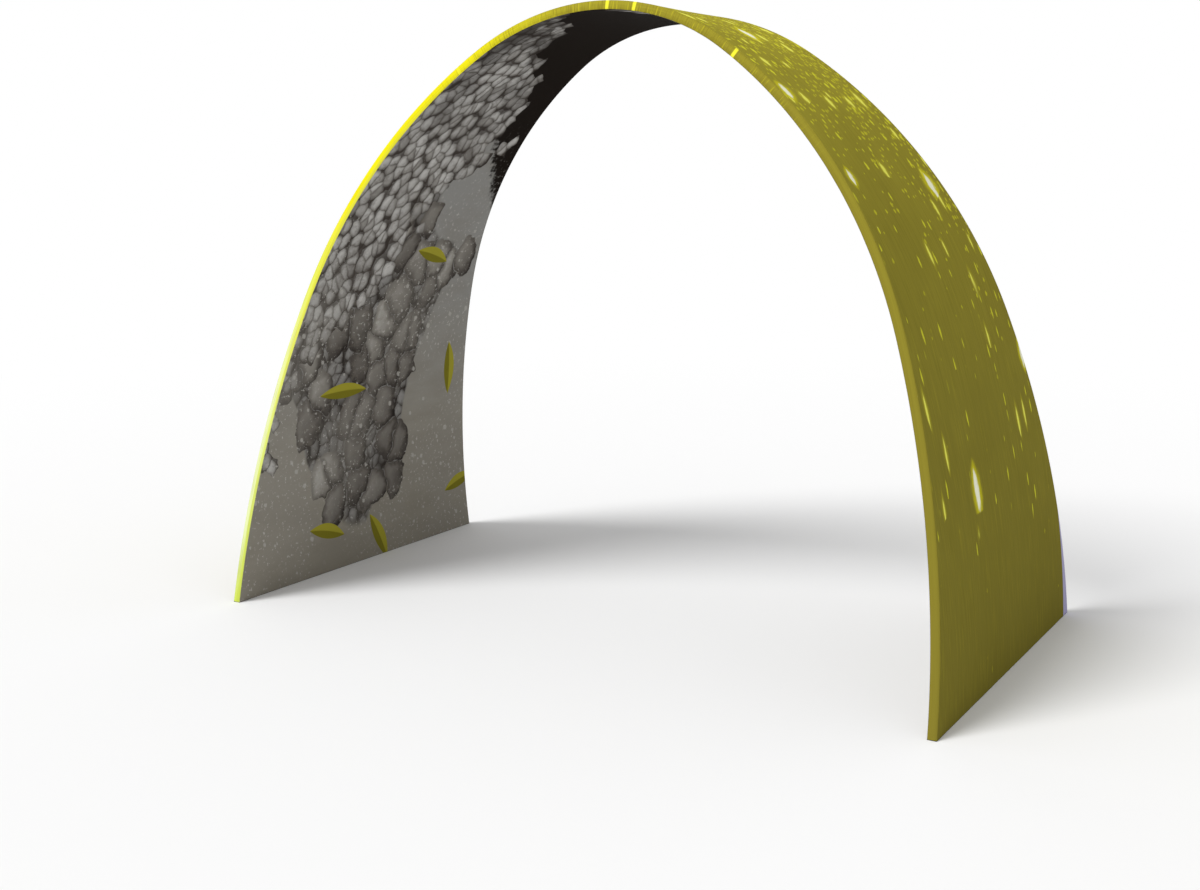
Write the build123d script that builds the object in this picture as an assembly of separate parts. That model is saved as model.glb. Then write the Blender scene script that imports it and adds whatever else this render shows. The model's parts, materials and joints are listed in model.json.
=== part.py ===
from build123d import *
import math
import os

# A walk-through arch of printed stretch fabric, zipped over a frame of bent aluminium tubes.
# Two hoops lean towards each other, so the arch is deep at the floor and narrow at the crown.
# X runs across the opening, Y from the front edge to the rear edge, and Z up. The origin is on
# the floor at the centre of the footprint. Sizes are in millimetres and angles in degrees.

# Form of the arch, on the outside of the fabric
width = 3050.0  # across the outer faces at the floor
floor_depth = 1580.0  # from the front edge to the rear edge at the floor
hoop_lean = 11.0  # slope of each hoop away from the vertical
foot_rake = 1.8  # inward slope of a leg where it leaves the floor
lower_turn = 17.5  # bend of a lower tube from end to end
haunch_turn = 36.4  # bend of a haunch tube from end to end
lower_radius = 4250.0  # bend radius of the outer face along a lower tube
haunch_radius = 1980.0  # bend radius of the outer face along a haunch tube

# Fabric cover
fabric_thickness = 1.0
panel_clearance = 0.6  # between a tube and the panel beside it
floor_clearance = 0.3  # between a base rail and the bottom gusset under it

# Frame tubes
tube_diameter = 30.0
tube_wall = 2.0
spigot_clearance = 0.1  # radial, between a spigot and the tube that slips over it
shoulder_gap = 0.2  # between a tube's end and the shoulder that it butts against

# Swaged spigots that join the bent tubes and the two halves of a base rail
swage_length = 70.0
swage_wall = 1.9
swage_shoulder = 6.0

# Welded stubs that carry the spreaders
stub_setback = 100.0  # from the joint above, down along the tube
stub_collar_diameter = 28.0
stub_collar_reach = 26.0  # from the hoop tube's axis
stub_length = 50.0
stub_wall = 4.0

# Corner elbows at the feet
elbow_arm = 28.0
elbow_bend = 20.0
elbow_spigot = 45.0

# Snap buttons and their springs
button_diameter = 8.0
button_hole_clearance = 0.1
button_setback = 35.0  # from the joint line, into the outer tube
button_protrusion = 3.0
button_dome = 1.5
button_flange_diameter = 10.4
button_flange_thickness = 1.2
button_relief = 0.1  # between a flange and the wall that stops it
spring_strip = 0.8
spring_width = 6.0
spring_reach = 34.0
spring_pad = 5.0
spring_bend = 2.6
spring_clearance = 0.3

# Frame screws
screw_diameter = 6.0
screw_clearance = 0.4
thread_clearance = 0.05
screw_length = 5.6
screw_head_diameter = 10.5
screw_head_height = 3.2
screw_head_dome = 2.0
screw_socket = 4.0
screw_socket_depth = 2.0
screw_setback = 22.5  # from a spigot's shoulder

# Zips along the rear edge
tape_width = 13.0
tape_thickness = 0.6
tape_slot = 2.4
tooth_width = 6.0
tooth_height = 1.6
strip_slot = 12.0  # between the two fabric strips of the rear edge
zip_crown_gap = 12.0  # between the stops of the two zips
tape_crown_gap = 1.0  # between the tapes of the two zips
zip_foot_gap = 3.0
stop_length = 4.0

# Zip slider and pull
slider_park = 90.0  # from the floor along the edge, with the cover closed
slider_length = 12.0
slider_width = 9.0
slider_plate = 1.1
slider_clearance = 0.2
slider_flange = 1.2
slider_corner = 1.0
slider_post_width = 2.0
slider_post_length = 3.5
slider_tube_clearance = 0.4
lug_width = 2.4
lug_length = 4.6
pull_pin_diameter = 1.9
pull_pin_clearance = 0.05
pull_axis_height = 2.2  # above the slider's top plate
pull_ear = 1.2
pull_ear_gap = 0.2
pull_eye_diameter = 3.8
pull_length = 30.0
pull_width = 8.0
pull_thickness = 1.4
pull_droop = 5.5

# Values worked out from those above
lean = math.radians(hoop_lean)
tube_radius = tube_diameter / 2
bore_radius = tube_radius - tube_wall
spigot_radius = bore_radius - spigot_clearance
swage_bore = spigot_radius - swage_wall
stub_bore = spigot_radius - stub_wall
side_inset = fabric_thickness + panel_clearance + tube_radius  # outer face to a tube's axis
band = 2 * side_inset  # thickness of the arch, face to face
rail_height = fabric_thickness + floor_clearance + tube_radius
zip_inset = fabric_thickness + tape_thickness / 2
slider_under = tape_thickness / 2 + slider_clearance + slider_plate
edge_inset = zip_inset + slider_under + slider_tube_clearance + tube_radius
up = (0, 0, 1)
rearward = (0, 1, 0)
outward = Vector(0, -math.cos(lean), math.sin(lean))  # out of the front edge, square to it
inward = outward * -1

# The outer line of a hoop is five tangent arcs. A place on it is named by the direction in
# which the line faces there, from foot_rake at the right foot, through 90 at the crown, to
# the same rake at the left foot.
lower_end = foot_rake + lower_turn
haunch_end = lower_end + haunch_turn


def cosine(angle):
    return math.cos(math.radians(angle))


def sine(angle):
    return math.sin(math.radians(angle))


lower_reach = lower_radius * cosine(foot_rake) - (lower_radius - haunch_radius) * cosine(lower_end)
crown_radius = haunch_radius - (lower_reach - width / 2) / cosine(haunch_end)
haunch_x = -(haunch_radius - crown_radius) * cosine(haunch_end)
lower_x = haunch_x - (lower_radius - haunch_radius) * cosine(lower_end)
lower_rise = -lower_radius * sine(foot_rake)
haunch_rise = lower_rise + (lower_radius - haunch_radius) * sine(lower_end)
crown_rise = haunch_rise + (haunch_radius - crown_radius) * sine(haunch_end)
height = (crown_rise + crown_radius) * math.cos(lean)

ARCS = [
    (lower_x, lower_rise, lower_radius, foot_rake, lower_end),
    (haunch_x, haunch_rise, haunch_radius, lower_end, haunch_end),
    (0.0, crown_rise, crown_radius, haunch_end, 180 - haunch_end),
    (-haunch_x, haunch_rise, haunch_radius, 180 - haunch_end, 180 - lower_end),
    (-lower_x, lower_rise, lower_radius, 180 - lower_end, 180 - foot_rake),
]
LOWER, HAUNCH, CROWN = ARCS[0], ARCS[1], ARCS[2]


def arc_at(angle):
    for arc in ARCS:
        if angle <= arc[4]:
            return arc
    return ARCS[-1]


def turn_for(length, arc):
    """The turn, in degrees, that a tube on this arc makes over a length of its axis."""
    return math.degrees(length / (arc[2] - side_inset))


def edge_plane(inset):
    """The front edge's plane, moved inwards by inset. It moves along Y, as the panels run."""
    y = -floor_depth / 2 + inset / math.cos(lean)
    return Plane(origin=(0, y, 0), x_dir=(1, 0, 0), z_dir=outward)


def facing(angle):
    """The direction, in the edge's plane, in which the outer line faces."""
    return Vector(cosine(angle), sine(angle) * math.sin(lean), sine(angle) * math.cos(lean))


def onward(angle):
    """The direction along the line, towards the crown on the right side."""
    return Vector(-sine(angle), cosine(angle) * math.sin(lean), cosine(angle) * math.cos(lean))


def line_edges(inset, start, end):
    edges = []
    for x, rise, radius, low, high in ARCS:
        first, last = max(low, start), min(high, end)
        if last > first:
            edges.append(CenterArc((x, rise), radius - inset, first, last - first))
    return edges


def band_face(outer_inset, inner_inset, start=foot_rake, end=180 - foot_rake):
    """The strip between two lines parallel to the outer line."""
    outer = line_edges(outer_inset, start, end)
    inner = line_edges(inner_inset, start, end)
    closing = [Line(outer[0] @ 0, inner[0] @ 0), Line(outer[-1] @ 1, inner[-1] @ 1)]
    return make_face([*outer, *inner, *closing])


def between_edges(inset, bottom):
    """The space between the front and rear edges, less inset, from a height upwards."""
    top = height + band
    front = [
        -floor_depth / 2 + inset / math.cos(lean) + z * math.tan(lean) for z in (bottom, top)
    ]
    outline = Polyline((front[0], bottom), (front[1], top), (-front[1], top), (-front[0], bottom), close=True)
    return extrude(Plane.YZ * make_face(outline), width, both=True)


def to_rear(shape):
    return mirror(shape, about=Plane.XZ)


def to_left(shape):
    return mirror(shape, about=Plane.YZ)


def panel(outer_inset):
    """A fabric panel that runs over the whole arch, from edge gusset to edge gusset."""
    face = band_face(outer_inset, outer_inset + fabric_thickness)
    sheet = extrude(edge_plane(0) * face, floor_depth, dir=rearward)
    return sheet & between_edges(fabric_thickness, fabric_thickness)


def edge_strip(outer_inset, inner_inset):
    """A strip of the front edge's gusset."""
    sheet = extrude(
        edge_plane(0) * band_face(outer_inset, inner_inset),
        fabric_thickness / math.cos(lean),
        dir=rearward,
    )
    return sheet & between_edges(-band, fabric_thickness)


def bottom_gusset():
    """The strip that closes the right leg under its base rail."""
    face = band_face(0, band, end=lower_end)
    leg = extrude(edge_plane(0) * face, floor_depth, dir=rearward)
    slab = Plane.XY * Box(
        2 * width, 2 * floor_depth, fabric_thickness, align=(Align.CENTER, Align.CENTER, Align.MIN)
    )
    return leg & between_edges(0, 0) & slab


def mid_point(arc, angle, inset=edge_inset):
    """The point midway between the outer and inner faces, inset from the front edge."""
    x, rise, radius, _, _ = arc
    reach = radius - side_inset
    local = (x + reach * cosine(angle), rise + reach * sine(angle), 0)
    return edge_plane(inset).from_local_coords(local)


def bent_bar(arc, start, end, radius, bore=0.0):
    """A round bar or ring along the hoop's tube axis, on one arc."""
    x, rise, _, _, _ = arc
    centre = edge_plane(edge_inset).from_local_coords((x, rise, 0))
    section = Circle(radius) - Circle(bore) if bore else Circle(radius)
    plane = Plane(origin=mid_point(arc, start), x_dir=facing(start), z_dir=onward(start))
    return revolve(plane * section, Axis(centre, outward), end - start)


def rod(plane, radius, start, end):
    """A cylinder along the plane's normal, between two heights."""
    return plane * Pos(0, 0, start) * Cylinder(
        radius, end - start, align=(Align.CENTER, Align.CENTER, Align.MIN)
    )


def straight_tube(plane, start, end):
    return rod(plane, tube_radius, start, end) - rod(plane, bore_radius, start, end)


def stub(angle):
    """The welded stub at one place on a hoop, cut to the tube that it stands on."""
    arc = arc_at(angle)
    plane = Plane(origin=mid_point(arc, angle), x_dir=(1, 0, 0), z_dir=rearward)
    end = stub_collar_reach + stub_length
    body = rod(plane, stub_collar_diameter / 2, 0, stub_collar_reach)
    body += rod(plane, spigot_radius, stub_collar_reach - stub_wall, end)
    body -= rod(plane, stub_bore, stub_collar_reach - stub_wall, end)
    body -= thread_hole(spreader_screw_plane(angle))
    half_weld = turn_for(stub_collar_diameter, arc)
    inside = (bore_radius + tube_radius) / 2
    return body - bent_bar(arc, angle - half_weld, angle + half_weld, inside)


def swage(arc, angle, next_arc):
    """The shoulder at a tube's upper end and the spigot that follows the next tube's bend."""
    shoulder = bent_bar(arc, angle - turn_for(swage_shoulder, arc), angle, tube_radius, swage_bore)
    spigot = bent_bar(next_arc, angle, angle + turn_for(swage_length, next_arc), spigot_radius, swage_bore)
    return shoulder + spigot


def bent_tube(arc, start, end, next_arc):
    """A hoop tube with a stub, and with a swaged spigot at its upper end."""
    shoulder = turn_for(swage_shoulder, arc)
    tube = bent_bar(arc, start, end - shoulder, tube_radius, bore_radius)
    tube += swage(arc, end, next_arc)
    tube += stub(end - turn_for(stub_setback, arc))
    return tube - button_hole(button_plane(end, next_arc))


def screw_hole(plane):
    """The clearance hole for a screw in a tube's wall. The plane's normal is the screw's axis."""
    radius = (screw_diameter + screw_clearance) / 2
    return rod(plane, radius, bore_radius - tube_wall, tube_radius + tube_wall)


def thread_hole(plane):
    return rod(plane, screw_diameter / 2 + thread_clearance, 0, tube_radius)


def screw(plane):
    """A button-head screw with a hexagon socket, seated on the tube's outside."""
    shank = rod(plane, screw_diameter / 2, tube_radius - screw_length, tube_radius)
    head = rod(plane, screw_head_diameter / 2, tube_radius, tube_radius + screw_head_height)
    head = fillet(top_edges(head, plane), screw_head_dome)
    socket = plane * Pos(0, 0, tube_radius + screw_head_height - screw_socket_depth) * extrude(
        RegularPolygon(screw_socket / 2, 6, major_radius=False), screw_socket_depth
    )
    return shank + head - socket


def top_edges(shape, plane):
    """The edges of a shape that lie furthest along the plane's normal."""
    return shape.edges().sort_by(Axis(plane.origin, plane.z_dir))[-1:]


def button_plane(joint_angle, arc):
    """Where a hoop joint's snap button lies, with its axis square to the hoop, inwards."""
    angle = joint_angle + turn_for(button_setback, arc)
    return Plane(origin=mid_point(arc, angle), x_dir=facing(angle), z_dir=inward)


def button_hole(plane):
    radius = button_diameter / 2 + button_hole_clearance
    return rod(plane, radius, tube_radius / 2, tube_radius + tube_wall)


def flange_top():
    half = button_flange_diameter / 2
    return math.sqrt(swage_bore**2 - half**2) - button_relief


def snap_button(plane):
    """A domed button with a flange that stops it against the inside of the spigot."""
    radius = button_diameter / 2
    tip = tube_radius + button_protrusion
    shank = rod(plane, radius, flange_top() - button_flange_thickness, tip)
    shank = fillet(top_edges(shank, plane), button_dome)
    flange = rod(plane, button_flange_diameter / 2, flange_top() - button_flange_thickness, flange_top())
    return shank + flange


def button_spring(plane):
    """The bent strip behind a button: a pad under the flange, a bend, and a leg on the wall."""
    half = spring_strip / 2
    pad = flange_top() - button_flange_thickness - button_relief - half
    leg = -math.sqrt(swage_bore**2 - (spring_width / 2) ** 2) + spring_clearance + half
    line = FilletPolyline(
        (-spring_pad, pad),
        (spring_pad, pad),
        (spring_reach, leg + 2 * spring_bend + spring_strip),
        (spring_reach + spring_bend, leg),
        (-spring_pad, leg),
        radius=spring_bend,
    )
    side = Plane(origin=plane.origin, x_dir=plane.y_dir, z_dir=plane.x_dir)
    strip = side * trace(line, spring_strip)
    return extrude(strip, spring_width / 2, both=True)


def spreader_screw_plane(angle):
    """The axis of the screw that holds a spreader on its stub, facing down along the arch."""
    along = stub_collar_reach + screw_setback
    origin = mid_point(arc_at(angle), angle) + Vector(0, along, 0)
    down = Vector(sine(angle), 0, -cosine(angle))
    return Plane(origin=origin, x_dir=rearward, z_dir=down)


def spreader(angle):
    """A straight tube between the stubs of the front and rear hoops."""
    origin = mid_point(arc_at(angle), angle)
    end = -origin.Y - stub_collar_reach - shoulder_gap
    plane = Plane(origin=(origin.X, 0, origin.Z), x_dir=(1, 0, 0), z_dir=rearward)
    holes = screw_hole(spreader_screw_plane(angle))
    return straight_tube(plane, -end, end) - holes - to_rear(holes)


# The elbow's leg arm points along the lower tube where its spigot is half way in, and meets
# the base rail's axis at the corner.
corner_slope = rail_height / math.cos(lean)
leg_reach = elbow_arm + elbow_spigot / 2
lower_axis_radius = lower_radius - side_inset
leg_angle = math.degrees(
    math.asin((corner_slope - lower_rise) / math.hypot(lower_axis_radius, leg_reach))
    + math.atan2(leg_reach, lower_axis_radius)
)
corner = mid_point(LOWER, leg_angle) - onward(leg_angle) * leg_reach
lower_start = leg_angle - turn_for(elbow_spigot / 2 - shoulder_gap, LOWER)
low_stub_angle = lower_end - turn_for(stub_setback, LOWER)
high_stub_angle = haunch_end - turn_for(stub_setback, HAUNCH)
crown_stub_angle = 90.0


def leg_screw_plane():
    origin = corner + onward(leg_angle) * (elbow_arm + screw_setback)
    return Plane(origin=origin, x_dir=facing(leg_angle), z_dir=inward)


def rail_screw_plane():
    origin = corner + Vector(0, elbow_arm + screw_setback, 0)
    return Plane(origin=origin, x_dir=(1, 0, 0), z_dir=up)


def corner_elbow():
    """The cast elbow at a foot, with a spigot up into the hoop and one into the base rail."""
    leg_end = corner + onward(leg_angle) * elbow_arm
    rail_end = corner + Vector(0, elbow_arm, 0)
    path = FilletPolyline(leg_end, corner, rail_end, radius=elbow_bend)
    body = sweep(Plane(origin=leg_end, z_dir=onward(leg_angle) * -1) * Circle(tube_radius), path=path)
    arms = [
        Plane(origin=leg_end, x_dir=facing(leg_angle), z_dir=onward(leg_angle)),
        Plane(origin=rail_end, x_dir=(1, 0, 0), z_dir=rearward),
    ]
    for arm in arms:
        body += rod(arm, spigot_radius, -stub_wall, elbow_spigot)
    for arm in arms:
        body -= rod(arm, stub_bore, -stub_wall, elbow_spigot)
    return body - thread_hole(leg_screw_plane()) - thread_hole(rail_screw_plane())


def lower_tube():
    return bent_tube(LOWER, lower_start, lower_end, HAUNCH) - screw_hole(leg_screw_plane())


def haunch_tube():
    start = lower_end + turn_for(shoulder_gap, HAUNCH)
    return bent_tube(HAUNCH, start, haunch_end, CROWN) - button_hole(button_plane(lower_end, HAUNCH))


def crown_tube():
    start = haunch_end + turn_for(shoulder_gap, CROWN)
    tube = bent_bar(CROWN, start, 180 - start, tube_radius, bore_radius) + stub(crown_stub_angle)
    hole = button_hole(button_plane(haunch_end, CROWN))
    return tube - hole - to_left(hole)


def rail_button_plane():
    origin = (corner.X, button_setback, corner.Z)
    return Plane(origin=origin, x_dir=(-1, 0, 0), z_dir=up)


def rail_axis():
    return Plane(origin=(corner.X, 0, corner.Z), x_dir=(1, 0, 0), z_dir=rearward)


def front_rail():
    """The front half of the right base rail, with the spigot that joins the halves."""
    start = corner.Y + elbow_arm + shoulder_gap
    axis = rail_axis()
    rail = straight_tube(axis, start, -swage_shoulder)
    rail += rod(axis, tube_radius, -swage_shoulder, 0) + rod(axis, spigot_radius, 0, swage_length)
    rail -= rod(axis, swage_bore, -swage_shoulder, swage_length)
    return rail - screw_hole(rail_screw_plane()) - button_hole(rail_button_plane())


def rear_rail():
    """The rear half of the right base rail, which slips over the front half's spigot."""
    end = -(corner.Y + elbow_arm + shoulder_gap)
    rail = straight_tube(rail_axis(), shoulder_gap, end)
    return rail - to_rear(screw_hole(rail_screw_plane())) - button_hole(rail_button_plane())


# The zips lie in the rear edge. They are drawn on the front edge and mirrored.
zip_plane = edge_plane(zip_inset)
slider_angle = foot_rake + turn_for(slider_park, LOWER)
slider_roof = tape_thickness / 2 + tooth_height + slider_clearance
slider_floor = -tape_thickness / 2 - slider_clearance
slider_top = slider_roof + slider_plate
pull_axis = slider_top + pull_axis_height


def slider_plane():
    """The slider's place: X across the zip, Y along it to the crown, Z out of the edge."""
    origin = mid_point(LOWER, slider_angle, zip_inset)
    return Plane(origin=origin, x_dir=facing(slider_angle), z_dir=outward)


def zip_band(half_low, half_high, start, end, low, high):
    """A strip of the zip between two distances from its middle, and between two heights."""
    face = band_face(side_inset - half_high, side_inset - half_low, start, end)
    return extrude(zip_plane.offset(low) * face, high - low, dir=outward)


def zip_end():
    return 90 - turn_for(zip_crown_gap / 2, CROWN)


def tooth_start():
    return slider_angle - turn_for(slider_length / 2 - slider_post_length - 1, LOWER)


def zip_tapes():
    """The tapes of the right zip, which run on past its stop to meet those of the left."""
    start = foot_rake + turn_for(zip_foot_gap, LOWER)
    end = 90 - turn_for(tape_crown_gap / 2, CROWN)
    half = tape_thickness / 2
    near, far = tape_slot / 2, tape_slot / 2 + tape_width
    outer = zip_band(near, far, start, end, -half, half)
    inner = zip_band(-far, -near, start, end, -half, half)
    return [outer, inner]


def zip_teeth():
    half = tooth_width / 2
    low = tape_thickness / 2
    end = zip_end() - turn_for(stop_length, CROWN)
    return zip_band(-half, half, tooth_start(), end, low, low + tooth_height)


def zip_stops():
    """The block at the crown end of a zip and the two at its foot end."""
    half = tooth_width / 2
    low = tape_thickness / 2
    high = low + tooth_height
    crown_block = zip_band(-half, half, zip_end() - turn_for(stop_length, CROWN), zip_end(), low, high)
    last = slider_angle - turn_for(slider_length / 2 + slider_clearance, LOWER)
    first = last - turn_for(stop_length, LOWER)
    near = tape_slot / 2
    foot_blocks = [zip_band(near, half, first, last, low, high), zip_band(-half, -near, first, last, low, high)]
    return [crown_block, *foot_blocks]


def slab(width_x, length_y, low, high, y=0.0, x=0.0):
    align = (Align.CENTER, Align.CENTER, Align.MIN)
    return Pos(x, y, low) * Box(width_x, length_y, high - low, align=align)


def zip_slider():
    """Two plates round the teeth, joined by the post that parts them, with a lug on top."""
    top = slab(slider_width, slider_length, slider_roof, slider_top)
    bottom = slab(slider_width, slider_length, slider_floor - slider_plate, slider_floor)
    post_y = -slider_length / 2 + slider_post_length / 2
    post = slab(slider_post_width, slider_post_length, slider_floor, slider_roof, y=post_y)
    body = top + bottom + post
    for side in (-1, 1):
        flange_x = side * (slider_width - slider_flange) / 2
        low = tape_thickness / 2 + slider_clearance
        body += slab(slider_flange, slider_length, low, slider_roof, x=flange_x)
    corners = body.edges().filter_by(Axis.Z).group_by(Axis.X)
    body = fillet(corners[0] + corners[-1], slider_corner)
    lug = slab(lug_width, lug_length, slider_top - slider_plate / 2, pull_axis)
    lug += Pos(0, 0, pull_axis) * Rot(0, 90, 0) * Cylinder(lug_length / 2, lug_width)
    hole = Pos(0, 0, pull_axis) * Rot(0, 90, 0) * Cylinder(
        pull_pin_diameter / 2 + pull_pin_clearance, lug_width
    )
    return slider_plane() * (body + lug - hole)


def zip_pull():
    """The tab on its pin, hanging down along the zip."""
    half_lug = lug_width / 2 + pull_ear_gap
    across = Rot(0, 90, 0)
    pin = across * Cylinder(pull_pin_diameter / 2, 2 * (half_lug + pull_ear))
    neck = lug_length / 2 + pull_eye_diameter / 2
    tab_length = pull_length - neck
    tab = Pos(0, -neck - tab_length / 2, 0) * Box(pull_width, tab_length, pull_thickness)
    tab = fillet(tab.edges().filter_by(Axis.Z), pull_width / 4)
    pull = pin + tab
    for side in (-1, 1):
        ear_x = side * (half_lug + pull_ear / 2)
        pull += Pos(ear_x, 0, 0) * across * Cylinder(pull_eye_diameter / 2, pull_ear)
        pull += Pos(ear_x, -(neck + pull_ear) / 2, 0) * Box(pull_ear, neck + pull_ear, pull_thickness)
    return slider_plane() * Pos(0, 0, pull_axis) * Rot(pull_droop, 0, 0) * pull


def four_ways(shape, name, parts):
    """The same piece at the front and rear of both legs."""
    parts["front_right_" + name] = shape
    parts["front_left_" + name] = to_left(shape)
    parts["rear_right_" + name] = to_rear(shape)
    parts["rear_left_" + name] = to_rear(to_left(shape))


def both_legs(shape, name, parts):
    parts["right_" + name] = shape
    parts["left_" + name] = to_left(shape)


def mirrored_group(shapes):
    """The shapes of the front right quarter, repeated in the other three."""
    right = [copy for shape in shapes for copy in (shape, to_rear(shape))]
    return right + [to_left(shape) for shape in right]


def frame_tubes(parts):
    four_ways(lower_tube(), "lower_tube", parts)
    four_ways(haunch_tube(), "haunch_tube", parts)
    parts["front_crown_tube"] = crown_tube()
    parts["rear_crown_tube"] = to_rear(crown_tube())
    four_ways(corner_elbow(), "corner_elbow", parts)
    both_legs(front_rail(), "front_base_rail", parts)
    both_legs(rear_rail(), "rear_base_rail", parts)
    both_legs(spreader(low_stub_angle), "low_spreader", parts)
    both_legs(spreader(high_stub_angle), "high_spreader", parts)
    parts["crown_spreader"] = spreader(crown_stub_angle)


def fixings(parts):
    low, high = button_plane(lower_end, HAUNCH), button_plane(haunch_end, CROWN)
    four_ways(snap_button(low), "low_button", parts)
    four_ways(snap_button(high), "high_button", parts)
    both_legs(snap_button(rail_button_plane()), "rail_button", parts)
    springs = mirrored_group([button_spring(low), button_spring(high)])
    rail_spring = button_spring(rail_button_plane())
    parts["button_springs"] = Compound(children=springs + [rail_spring, to_left(rail_spring)])
    planes = [leg_screw_plane(), rail_screw_plane()]
    planes += [spreader_screw_plane(angle) for angle in (low_stub_angle, high_stub_angle)]
    screws = mirrored_group([screw(plane) for plane in planes])
    crown_screw = screw(spreader_screw_plane(crown_stub_angle))
    parts["frame_screws"] = Compound(children=screws + [crown_screw, to_rear(crown_screw)])


def cover(parts):
    parts["outer_fabric_panel"] = panel(0)
    parts["inner_fabric_panel"] = panel(band - fabric_thickness)
    parts["front_edge_gusset"] = edge_strip(0, band)
    parts["rear_edge_outer_strip"] = to_rear(edge_strip(0, side_inset - strip_slot / 2))
    parts["rear_edge_inner_strip"] = to_rear(edge_strip(side_inset + strip_slot / 2, band))
    both_legs(bottom_gusset(), "bottom_gusset", parts)


def zips(parts):
    tapes = [to_rear(tape) for tape in zip_tapes()]
    parts["right_zip_tapes"] = Compound(children=tapes)
    parts["left_zip_tapes"] = Compound(children=[to_left(tape) for tape in tapes])
    both_legs(to_rear(zip_teeth()), "zip_teeth", parts)
    both_legs(to_rear(zip_slider()), "zip_slider", parts)
    both_legs(to_rear(zip_pull()), "zip_pull", parts)
    stops = [to_rear(stop) for stop in zip_stops()]
    parts["zip_stops"] = Compound(children=stops + [to_left(stop) for stop in stops])


def main():
    parts = {}
    frame_tubes(parts)
    fixings(parts)
    cover(parts)
    zips(parts)
    os.makedirs("parts", exist_ok=True)
    for name, shape in parts.items():
        export_step(shape, "parts/" + name + ".step")


if __name__ == "__main__":
    main()
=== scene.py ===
import json
import math

import bpy
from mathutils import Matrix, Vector

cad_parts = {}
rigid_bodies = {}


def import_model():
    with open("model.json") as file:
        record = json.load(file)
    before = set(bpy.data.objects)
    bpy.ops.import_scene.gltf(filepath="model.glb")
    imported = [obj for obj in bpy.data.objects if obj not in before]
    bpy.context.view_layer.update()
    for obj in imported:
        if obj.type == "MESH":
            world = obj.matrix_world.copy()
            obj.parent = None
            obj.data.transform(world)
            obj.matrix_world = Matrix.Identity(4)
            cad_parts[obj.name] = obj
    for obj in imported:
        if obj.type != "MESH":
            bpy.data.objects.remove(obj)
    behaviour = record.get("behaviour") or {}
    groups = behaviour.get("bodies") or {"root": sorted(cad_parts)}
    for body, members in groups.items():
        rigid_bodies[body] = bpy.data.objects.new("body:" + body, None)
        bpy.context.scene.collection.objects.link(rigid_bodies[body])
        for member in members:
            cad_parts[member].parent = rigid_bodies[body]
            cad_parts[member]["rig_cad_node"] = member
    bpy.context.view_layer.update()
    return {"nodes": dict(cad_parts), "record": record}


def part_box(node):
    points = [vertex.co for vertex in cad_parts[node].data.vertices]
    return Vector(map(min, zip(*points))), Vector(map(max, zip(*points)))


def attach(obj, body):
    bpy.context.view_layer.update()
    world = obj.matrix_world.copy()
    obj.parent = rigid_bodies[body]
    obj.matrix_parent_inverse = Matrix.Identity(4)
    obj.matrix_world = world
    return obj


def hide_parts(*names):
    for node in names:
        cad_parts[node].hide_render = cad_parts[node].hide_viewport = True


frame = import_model()

# Form of the arch, in metres and radians, as the solids have it
ground_low, ground_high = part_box("right_bottom_gusset")
WIDTH = 2 * ground_high[0]
DEPTH = ground_high[1] - ground_low[1]
CLOTH = ground_high[2] - ground_low[2]
BAND = 0.0332
LEAN = math.radians(11.0)
FOOT_RAKE = math.radians(1.8)
LOWER_END = FOOT_RAKE + math.radians(17.5)
HAUNCH_END = LOWER_END + math.radians(36.4)
LOWER_RADIUS = 4.25
HAUNCH_RADIUS = 1.98

# Cloth
SEAM_ROUND = 0.0022  # radius of the cover's corners
SEWN_DEPTH = 0.0012  # from a face to the back of its cloth, turned in at the seams
BACK_SHARE = 0.96  # width of an edge strip's back as a share of its face's
SEAM_CREASE = 0.0004  # how far the two cloths sink where they are sewn
EDGE_CROWN = 0.0003  # how far an edge strip stands proud between its seams
PANEL_SLACK = 0.0028  # how far a panel leaves its flat line between the tubes
TUBE_STRIP = 0.034  # width of a panel that a hoop tube backs
SEAM_STRIP = 0.008  # from a panel's seam to its first flat point
INNER_SHORTER = 0.1  # how much shorter the inner panel is cut than the outer one
STEP = 0.024  # length of a mesh face along the arch
PANEL_COLUMNS = 8  # mesh faces across half of a panel's free width
STRIP_COLUMNS = 6  # mesh faces across an edge strip or a tape
GUSSET_ROWS = 48  # mesh faces along a bottom gusset

# Zip
TAPE_NEAR = 0.0012  # from the zip's middle to a tape's inner edge
TAPE_FAR = 0.0142  # and to its outer edge
TAPE_THICKNESS = 0.0006
TAPE_FOOT = 0.0045  # height of a tape's lower end
TAPE_GAP = 0.0005  # from the middle of the crown to a tape's upper end
STRIP_SLOT = 0.012  # between the two strips of the rear edge
TOOTH_PITCH = 0.0031
TOOTH_LOW = 0.0003  # from the middle of the tapes to the foot of a tooth
TOOTH_HEIGHT = 0.0016
TOOTH_TAPER = 0.82  # length of a tooth's top as a share of its foot's
TEETH_START = 0.0012  # how far below the slider's middle the teeth begin
TEETH_GAP = 0.0105  # from the middle of the crown to the last tooth
ZIP_INSET = CLOTH + TAPE_THICKNESS / 2

HANDS = (("right", 1), ("left", -1))


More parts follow.
